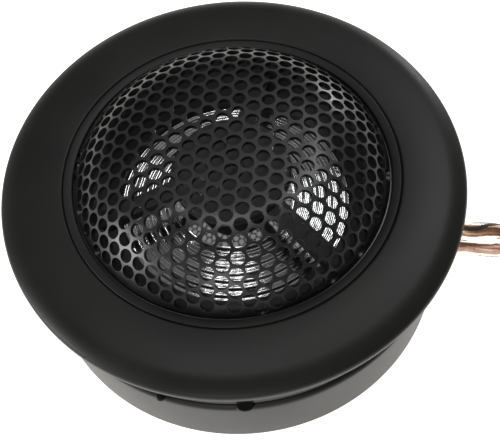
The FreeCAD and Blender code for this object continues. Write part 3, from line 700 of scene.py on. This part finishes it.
def dome_place(along):
    """Radius and height of the outer face at a distance from the top: over the
    crown, down the shoulder, round the edge bend and down the skirt."""
    if along <= CROWN_ARC:
        return bend_on(Vector((0, GRILLE_TOP)), CROWN_BEND, 0, along / CROWN_BEND)
    if along <= SHOULDER_ARC:
        lean = CROWN_TURN + (along - CROWN_ARC) / SHOULDER_BEND
        return bend_on(CROWN_END, SHOULDER_BEND, CROWN_TURN, lean)
    if along <= EDGE_ARC:
        lean = SHOULDER_TURN + (along - SHOULDER_ARC) / EDGE_BEND
        return bend_on(SHOULDER_END, EDGE_BEND, SHOULDER_TURN, lean)
    return EDGE_END - Vector((0, along - EDGE_ARC))


def drawn_in(flat):
    """Distance along the dome of a point that far out in the flat sheet."""
    share = (flat / DRAW_REACH) ** 2
    return flat * (1 - DRAW_SHRINK * share + DRAW_EASE * share ** 2)


def flat_for(along):
    """The flat distance that is drawn to a distance along the dome."""
    low, high = along, along * 1.2
    for _ in range(40):
        middle = (low + high) / 2
        low, high = (middle, high) if drawn_in(middle) < along else (low, middle)
    return low


TRIM_ARC = EDGE_ARC + EDGE_END.y - FOOT - FOOT_BEND
TRIM_FLAT = flat_for(TRIM_ARC)
LAST_HOLE = TRIM_ARC - HOLE_R - HOLE_MARGIN


def on_dome(along, angle):
    """The point in metres at a distance down the dome and an angle round it."""
    radius, height = dome_place(along)
    return Vector((radius * math.cos(angle), radius * math.sin(angle), height)) * MM


print("sheet radius", round(TRIM_FLAT, 2), "drawn to", round(TRIM_ARC, 2))

# %% Punch the flat sheet
TRIM_SIDES = 96


def sheet_cell(holed):
    """One hexagon of the sheet about the origin, with a round hole or without."""
    bm = bmesh.new()
    bmesh.ops.create_circle(bm, segments=6, radius=PITCH / math.sqrt(3))
    bmesh.ops.subdivide_edges(bm, edges=list(bm.edges), cuts=2)
    if holed:
        grown = bmesh.ops.extrude_edge_only(bm, edges=list(bm.edges))["geom"]
        for point in grown:
            if isinstance(point, bmesh.types.BMVert):
                point.co = point.co.normalized() * HOLE_R
    else:
        bmesh.ops.contextual_create(bm, geom=list(bm.edges))
    bmesh.ops.rotate(bm, verts=list(bm.verts), cent=(0, 0, 0),
                     matrix=Matrix.Rotation(ROW_TURN, 3, "Z"))
    mesh = bpy.data.meshes.new("cell")
    bm.to_mesh(mesh)
    bm.free()
    return mesh


def lattice():
    """Centres of all cells that the round sheet needs."""
    turn = ROW_TURN + math.pi / 3
    along = Vector((math.cos(ROW_TURN), math.sin(ROW_TURN), 0)) * PITCH
    across = Vector((math.cos(turn), math.sin(turn), 0)) * PITCH
    reach = int(DRAW_REACH / PITCH) + 4
    cells = [ROW_SHIFT + along * i + across * j
             for i in range(-reach, reach + 1) for j in range(-reach, reach + 1)]
    return [centre for centre in cells if centre.length < TRIM_FLAT + PITCH]


def is_holed(centre):
    """Whether the cell round a centre has a hole: the ones near the rim don't."""
    return drawn_in(centre.length) <= LAST_HOLE


def punch_sheet(centres):
    """The flat sheet, cell by cell, welded into one."""
    whole = bmesh.new()
    cells = {holed: sheet_cell(holed) for holed in (True, False)}
    for centre in centres:
        cell = cells[is_holed(centre)]
        cell.transform(Matrix.Translation(centre))
        whole.from_mesh(cell)
        cell.transform(Matrix.Translation(-centre))
    for cell in cells.values():
        bpy.data.meshes.remove(cell)
    bmesh.ops.remove_doubles(whole, verts=list(whole.verts), dist=PITCH * 0.02)
    return whole


def trim_round(bm, radius, sides=TRIM_SIDES):
    """Trims a flat sheet to a many-sided round, one straight cut at a time."""
    for k in range(sides):
        angle = 2 * math.pi * k / sides
        outward = Vector((math.cos(angle), math.sin(angle), 0))
        faces = [f for f in bm.faces if any(v.co.dot(outward) > radius for v in f.verts)]
        edges = {e for f in faces for e in f.edges}
        points = {v for f in faces for v in f.verts}
        bmesh.ops.bisect_plane(bm, geom=[*points, *edges, *faces], dist=1e-4,
                               plane_co=outward * radius, plane_no=outward, clear_outer=True)


# %% Press the sheet into a dome


def press_dome(bm, centres):
    """Carries the flat sheet onto the dome: holes stay round, webs give."""
    tree = KDTree(len(centres))
    for k, centre in enumerate(centres):
        tree.insert(centre, k)
    tree.balance()
    for point in bm.verts:
        flat = point.co.copy()
        centre, _, off = tree.find(flat)
        if off < HOLE_R * 1.001 and is_holed(centre):
            outward = centre.normalized()
            step = flat - centre
            radial, around = step.dot(outward), outward.cross(step).z
            along = drawn_in(centre.length) + radial
            turned_to = math.atan2(centre.y, centre.x) + around / dome_place(along).x
            point.co = on_dome(along, turned_to)
        else:
            point.co = on_dome(drawn_in(flat.length), math.atan2(flat.y, flat.x))


def turn_foot(bm, rim):
    """Turns the rim out into the flat foot that the bezel clamps."""
    wall = EDGE_END.x
    for radius, height in ((wall, FOOT + FOOT_BEND / 2),
                           (wall + FOOT_BEND / 4, FOOT + FOOT_BEND / 6),
                           (wall + FOOT_BEND, FOOT), (FOOT_R, FOOT)):
        grown = bmesh.ops.extrude_edge_only(bm, edges=rim)["geom"]
        rim = [g for g in grown if isinstance(g, bmesh.types.BMEdge)]
        for point in {v for e in rim for v in e.verts}:
            level = point.co.xy.normalized() * radius * MM
            point.co = (level.x, level.y, height * MM)


def face_out(mesh):
    """Turns every face of an open domed sheet to look up or outward."""
    for face in mesh.polygons:
        outward = Vector((*face.center.xy.normalized(), 1.0))
        if face.normal.dot(outward) < 0:
            face.flip()
    mesh.update()


def make_grille():
    centres = lattice()
    bm = punch_sheet(centres)
    trim_round(bm, TRIM_FLAT)
    rim = [e for e in bm.edges
           if e.is_boundary and min(v.co.length for v in e.verts) > TRIM_FLAT - 0.01]
    press_dome(bm, centres)
    turn_foot(bm, rim)
    grille = finish_mesh(bm, "grille_sheet", "grille_paint", sharp=50)
    face_out(grille.data)
    wall = grille.modifiers.new("sheet", "SOLIDIFY")
    wall.thickness, wall.offset = SHEET * MM, -1.0
    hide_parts("grille")
    print("holes", sum(is_holed(c) for c in centres))
    return soften(grille, 0.05, segments=1, angle=50)


make_grille()

# %% [markdown]
# ## The diaphragm
#
# The sound comes from a light film dome in the middle of a ribbed ring. The
# ribs let the ring flex and show as fine bright circles behind the grille.
# The ring is held at its rim. Here it is built in place and rides no body.

# %% Dome
FILM = 0.08


def make_dome():
    rise = DOME_TOP - DOME_EDGE
    bend = (DOME_R ** 2 + rise ** 2) / (2 * rise)
    dome = turned("dome_film", [
        (0, DOME_TOP - FILM), (DOME_R, DOME_EDGE - FILM, -bend), (DOME_R, DOME_EDGE),
        (0, DOME_TOP, bend),
    ], "diaphragm_foil", steps=128, count=16, body="diaphragm")
    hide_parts("dome")
    return dome


make_dome()

# %% Surround
RIBS, RIB_BEND = 16, 0.24
THROAT_R = 12.9


def make_surround():
    width = (THROAT_R - DOME_R) / RIBS
    rise = (DOME_EDGE - CLAMP) / RIBS
    upper = [(SEAT_R, CLAMP), (THROAT_R, CLAMP)]
    for k in range(1, RIBS + 1):
        bend = RIB_BEND if k % 2 else -RIB_BEND
        upper.append((THROAT_R - width * k, CLAMP + rise * k, bend))
    film = turned("surround_film", upper, "diaphragm_foil", steps=144, count=6,
                  body=None, open_line=True)
    wall = film.modifiers.new("film", "SOLIDIFY")
    wall.thickness, wall.offset = FILM * MM, -1.0
    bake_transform(film)
    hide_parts("surround")
    return film


make_surround()

# %% [markdown]
# ## The twin lead
#
# The lead is two copper strands in clear soft plastic, moulded side by side
# with a thin web between them. The strands show through, and each lobe acts as
# a lens that widens them. The route is drawn once as a smooth curve, and both
# the sleeve and the strands are swept along points read from that curve.

# %% The lead's route
COIL_CENTRE = Vector((60.5, -27.6))
COIL_START_R, COIL_END_R = 26.15, 20.85
COIL_TURNS, COIL_START_TURN = 2.5, 88
COIL_HEIGHT = 2.45
POINTS_PER_TURN = 14
ROUTE = [
    (GROMMET_FACE, 0.0, OUTLET_HEIGHT), (28.6, 0.0, 2.05), (34.0, -0.3, 1.1),
    (42.0, -1.3, 1.15), (49.5, -1.6, 2.1), (56.5, -1.5, 2.4),
]


def lead_route():
    """The route's points in metres: the free stretch, then the coil's turns."""
    points = [Vector(p) * MM for p in ROUTE]
    count = int(COIL_TURNS * POINTS_PER_TURN)
    for k in range(count + 1):
        share = k / count
        angle = math.radians(COIL_START_TURN) - 2 * math.pi * COIL_TURNS * share
        radius = COIL_START_R + (COIL_END_R - COIL_START_R) * share
        radius /= math.cos(math.pi / POINTS_PER_TURN) ** 0.5
        x = COIL_CENTRE.x + radius * math.cos(angle)
        y = COIL_CENTRE.y + radius * math.sin(angle)
        points.append(Vector((x, y, COIL_HEIGHT)) * MM)
    return points


def smooth_line(points):
    """Points along the NURBS curve that follows the route."""
    data = bpy.data.curves.new("route", "CURVE")
    data.dimensions = "3D"
    data.resolution_u = 8
    spline = data.splines.new("NURBS")
    spline.points.add(len(points) - 1)
    for point, place in zip(spline.points, points):
        point.co = (*place, 1)
    spline.order_u = 3
    spline.use_endpoint_u = True
    helper = bpy.data.objects.new("route", data)
    mesh = bpy.data.meshes.new_from_object(helper)
    line = [v.co.copy() for v in mesh.vertices]
    bpy.data.objects.remove(helper)
    bpy.data.meshes.remove(mesh)
    bpy.data.curves.remove(data)
    return line


LEAD_LINE = smooth_line(lead_route())
LEAD_LENGTH = sum((b - a).length for a, b in zip(LEAD_LINE, LEAD_LINE[1:]))
print("lead length mm", round(LEAD_LENGTH / MM, 1), "points", len(LEAD_LINE))


# %% How the lead turns on itself
ON_EDGE_FROM, ON_EDGE_TO = 40.0, 54.0
COIL_RUN = 45 * MM
LEAVING_TWIST = math.radians(62)
LEAVING_IN, LEAVING_OUT = (24.2, 26.6), (27.4, 32.0)


def ease(value, low, high):
    """0 below low, 1 above high and a smooth step between."""
    share = min(max((value - low) / (high - low), 0.0), 1.0)
    return share * share * (3 - 2 * share)


def lead_frames():
    """Place, sideways and upward directions, and distance, for each point.

    The lead twists a little as it leaves the cup and stands on edge in the coil.
    """
    frames = []
    run = 0.0
    for k, here in enumerate(LEAD_LINE):
        before = LEAD_LINE[max(k - 1, 0)]
        after = LEAD_LINE[min(k + 1, len(LEAD_LINE) - 1)]
        ahead = (after - before).normalized()
        if k:
            run += (here - LEAD_LINE[k - 1]).length
        level = Vector((-ahead.y, ahead.x, 0)).normalized()
        up = ahead.cross(level)
        reach = here.x / MM
        on_edge = ease(reach, ON_EDGE_FROM, ON_EDGE_TO) if run < COIL_RUN else 1.0
        leaving = ease(reach, *LEAVING_IN) * (1 - ease(reach, *LEAVING_OUT))
        twist = math.pi / 2 * on_edge + LEAVING_TWIST * leaving
        side = math.cos(twist) * level + math.sin(twist) * up
        rise = math.cos(twist) * up - math.sin(twist) * level
        frames.append((here, side, rise, run))
    return frames


# %% Sections and sweeping
STRAND_R = 0.50
STRAND_WIRES, STRAND_SIDES, STRAND_LAY = 7, 28, 9.0 * MM
LOBE_POINTS, LOBE_TURN = 14, 140
SLEEVE_SHRINK = 0.99


def sweep(name, section_at, material, frames):
    """Skins rings of equal size along the lead and closes both ends."""
    bm = bmesh.new()
    rings = []
    for here, side, rise, run in frames:
        ring = [bm.verts.new(here + side * (x * MM) + rise * (y * MM))
                for x, y in section_at(run)]
        rings.append([bm.edges.new((ring[k - 1], ring[k])) for k in range(len(ring))])
    for first, last in zip(rings, rings[1:]):
        bmesh.ops.bridge_loops(bm, edges=first + last)
    for ring in (rings[0], rings[-1]):
        bmesh.ops.contextual_create(bm, geom=ring)
    return finish_mesh(bm, name, material, sharp=60)


def sleeve_section(run):
    """Two round lobes joined by a web, as a closed ring of points."""
    points = []
    radius = SLEEVE_SHRINK * LEAD_R
    for lobe in (1, -1):
        for k in range(LOBE_POINTS):
            share = k / (LOBE_POINTS - 1)
            angle = math.radians(LOBE_TURN * (2 * share - 1))
            points.append((lobe * (LEAD_R + radius * math.cos(angle)),
                           lobe * radius * math.sin(angle)))
    return points


def strand_section(centre):
    """A bundle of seven wires that twists along the lead."""

    def section(run):
        points = []
        turn = 2 * math.pi * run / STRAND_LAY
        for k in range(STRAND_SIDES):
            angle = 2 * math.pi * k / STRAND_SIDES
            wire = abs(math.cos(STRAND_WIRES * (angle - turn) / 2))
            radius = STRAND_R * (0.9 + 0.1 * wire)
            points.append((centre + radius * math.cos(angle), radius * math.sin(angle)))
        return points

    return section


# %% The lead's materials


def make_clear_sleeve():
    """Clear soft plastic: a touch of haze, no colour of its own."""
    tree, shader = new_material("clear_insulation", (0.96, 0.95, 0.92), 0.08)
    shader.inputs["Transmission Weight"].default_value = 1.0
    shader.inputs["IOR"].default_value = 1.5
    skin = use_group(tree, SKIN, object_place(tree), Grain_Scale=1800.0, Roughness=0.07,
                     Variation=0.06)
    link(tree, skin.outputs["Roughness"], shader.inputs["Roughness"])
    bump_from(tree, shader, skin.outputs["Patch"], 0.2, 0.02 * MM)


def make_strand_copper(name, dark, light):
    """Copper in two tones, for bare wire or for wire seen through the sleeve."""
    tree, shader = new_material(name, dark, 0.3, 1.0)
    skin = use_group(tree, SKIN, object_place(tree), Grain_Scale=2500.0, Roughness=0.3,
                     Variation=0.15, Patch_Scale=900.0)
    patch = add_range(tree, skin.outputs["Patch"], *PATCH_EDGES, 0.0, 1.0)
    link(tree, mix_colors(tree, patch, dark, light), shader.inputs["Base Color"])
    link(tree, skin.outputs["Roughness"], shader.inputs["Roughness"])


make_clear_sleeve()
make_strand_copper("copper", (0.72, 0.32, 0.16), (0.86, 0.46, 0.27))
make_strand_copper("strand_first", (0.38, 0.19, 0.11), (0.62, 0.38, 0.24))
make_strand_copper("strand_second", (0.36, 0.18, 0.13), (0.58, 0.38, 0.31))
moulded("stripe_ink", (0.008, 0.008, 0.008), (0.014, 0.013, 0.013), 0.5)
make_strand_copper("bare_strands", (0.7, 0.4, 0.26), (0.84, 0.6, 0.45))

# %% Sweep the lead
STRIPE_FROM, STRIPE_TO, STRIPE_STEP = 28, 56, 7
STRIPE_RISE = 1.035


def stripe_section(run):
    """A thin printed stripe along the outer side of the first lobe."""
    points = []
    inner = range(STRIPE_FROM, STRIPE_TO + STRIPE_STEP, STRIPE_STEP)
    for radius, angles in ((1.0, inner), (STRIPE_RISE, reversed(inner))):
        for angle in angles:
            turned_to = math.radians(angle)
            points.append((LEAD_R + LEAD_R * radius * math.cos(turned_to),
                           LEAD_R * radius * math.sin(turned_to)))
    return points


def make_lead():
    frames = lead_frames()
    sleeve = sweep("lead_sleeve", sleeve_section, "clear_insulation", frames)
    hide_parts("cable", "cable_coil")
    strands = []
    for centre, name in ((LEAD_R, "strand_first"), (-LEAD_R, "strand_second")):
        strand = sweep(f"lead_{name}", strand_section(centre), name, frames)
        strands.append(strand)
    stripe = sweep("lead_stripe", stripe_section, "stripe_ink", frames)
    return sleeve, [*strands, stripe]


SLEEVE, STRANDS = make_lead()
path = [tuple(p) for p in LEAD_LINE]
tuple(LEAD_LINE[0])

# %% [markdown]
# ## Parts that keep the model's own shape
#
# The parts inside, and the small ones at the lead, are the shape they should
# be already. They only need their finishes.

# %% Finishes for the model's own parts
FINISH = {
    "grille_gasket": "foam", "phase_plug": "inner_plastic", "coil_former": "former_foil",
    "voice_coil": "copper", "diaphragm_ring": "inner_plastic", "yoke": "plated_steel",
    "magnet": "magnet_plating", "pole_plate": "plated_steel", "damping_pad": "felt",
    "driver_frame": "inner_plastic", "frame_screws": "screw_steel",
    "terminal_tabs": "tinned_brass", "terminal_board": "fibre_board", "coil_leads": "copper",
    "capacitor": "capacitor_sleeve", "capacitor_leads": "tinned_brass",
    "capacitor_pad": "foam", "lead_core_positive": "clear_insulation",
    "lead_core_negative": "clear_insulation", "solder_joints": "solder",
    "cable_grommet": "grommet_rubber", "cable_tie": "tie_nylon", "bare_ends": "bare_strands",
}

for node, finish in FINISH.items():
    part = NODES[node]
    part.data.materials.clear()
    part.data.materials.append(MATERIALS[finish])
print("finished", len(FINISH), "parts of the model")

# %% [markdown]
# ## Floor and light
#
# A white sweep lit from all sides gives a dark object its edges. The floor is
# bright enough to light the side of the cup from below, and broad soft lamps
# give the long highlights on the rolled rim.

# %% Stage
FLOOR_HALF = 3.0
FLOOR_GLOW = (1.0, 0.975, 0.92, 1)
WORLD_LIGHT = 0.25


def make_floor():
    bm = bmesh.new()
    bmesh.ops.create_grid(bm, x_segments=1, y_segments=1, size=FLOOR_HALF)
    mesh = bpy.data.meshes.new("floor")
    bm.to_mesh(mesh)
    bm.free()
    floor = bpy.data.objects.new("floor", mesh)
    bpy.context.scene.collection.objects.link(floor)
    _, shader = new_material("floor_white", (0.93, 0.93, 0.93), 0.9)
    shader.inputs["Emission Color"].default_value = FLOOR_GLOW
    shader.inputs["Emission Strength"].default_value = 1.0
    mesh.materials.append(MATERIALS["floor_white"])


def make_world(strength):
    world = bpy.data.worlds.new("studio")
    world.use_nodes = True
    back = world.node_tree.nodes["Background"]
    back.inputs["Color"].default_value = (1, 1, 1, 1)
    back.inputs["Strength"].default_value = strength
    bpy.context.scene.world = world


make_floor()
make_world(WORLD_LIGHT)

# %% Lamps
LAMP_AIM = Vector((0, 0, 0.015))
# name, place in metres, size in metres, power in watts
LAMPS = (
    ("low_left", (-0.42, -0.15, 0.17), 0.22, 1.5),
    ("back_right", (0.26, 0.46, 0.12), 0.10, 0.4),
    ("high_right", (0.16, 0.26, 0.50), 0.20, 0.6),
    ("overhead", (-0.04, 0.09, 0.52), 0.12, 0.3),
    ("front", (-0.06, -0.50, 0.34), 0.26, 0.7),
)


def make_lamp(name, place, size, power):
    """A round lamp that points at the object."""
    data = bpy.data.lights.new(name, "AREA")
    data.shape, data.size, data.energy = "DISK", size, power
    lamp = bpy.data.objects.new(name, data)
    lamp.location = place
    direction = LAMP_AIM - Vector(place)
    lamp.rotation_euler = direction.to_track_quat("-Z", "Y").to_euler()
    bpy.context.scene.collection.objects.link(lamp)


for lamp in LAMPS:
    make_lamp(*lamp)
bpy.context.scene.view_settings.view_transform = "Standard"
print("lamps", [lamp[0] for lamp in LAMPS])
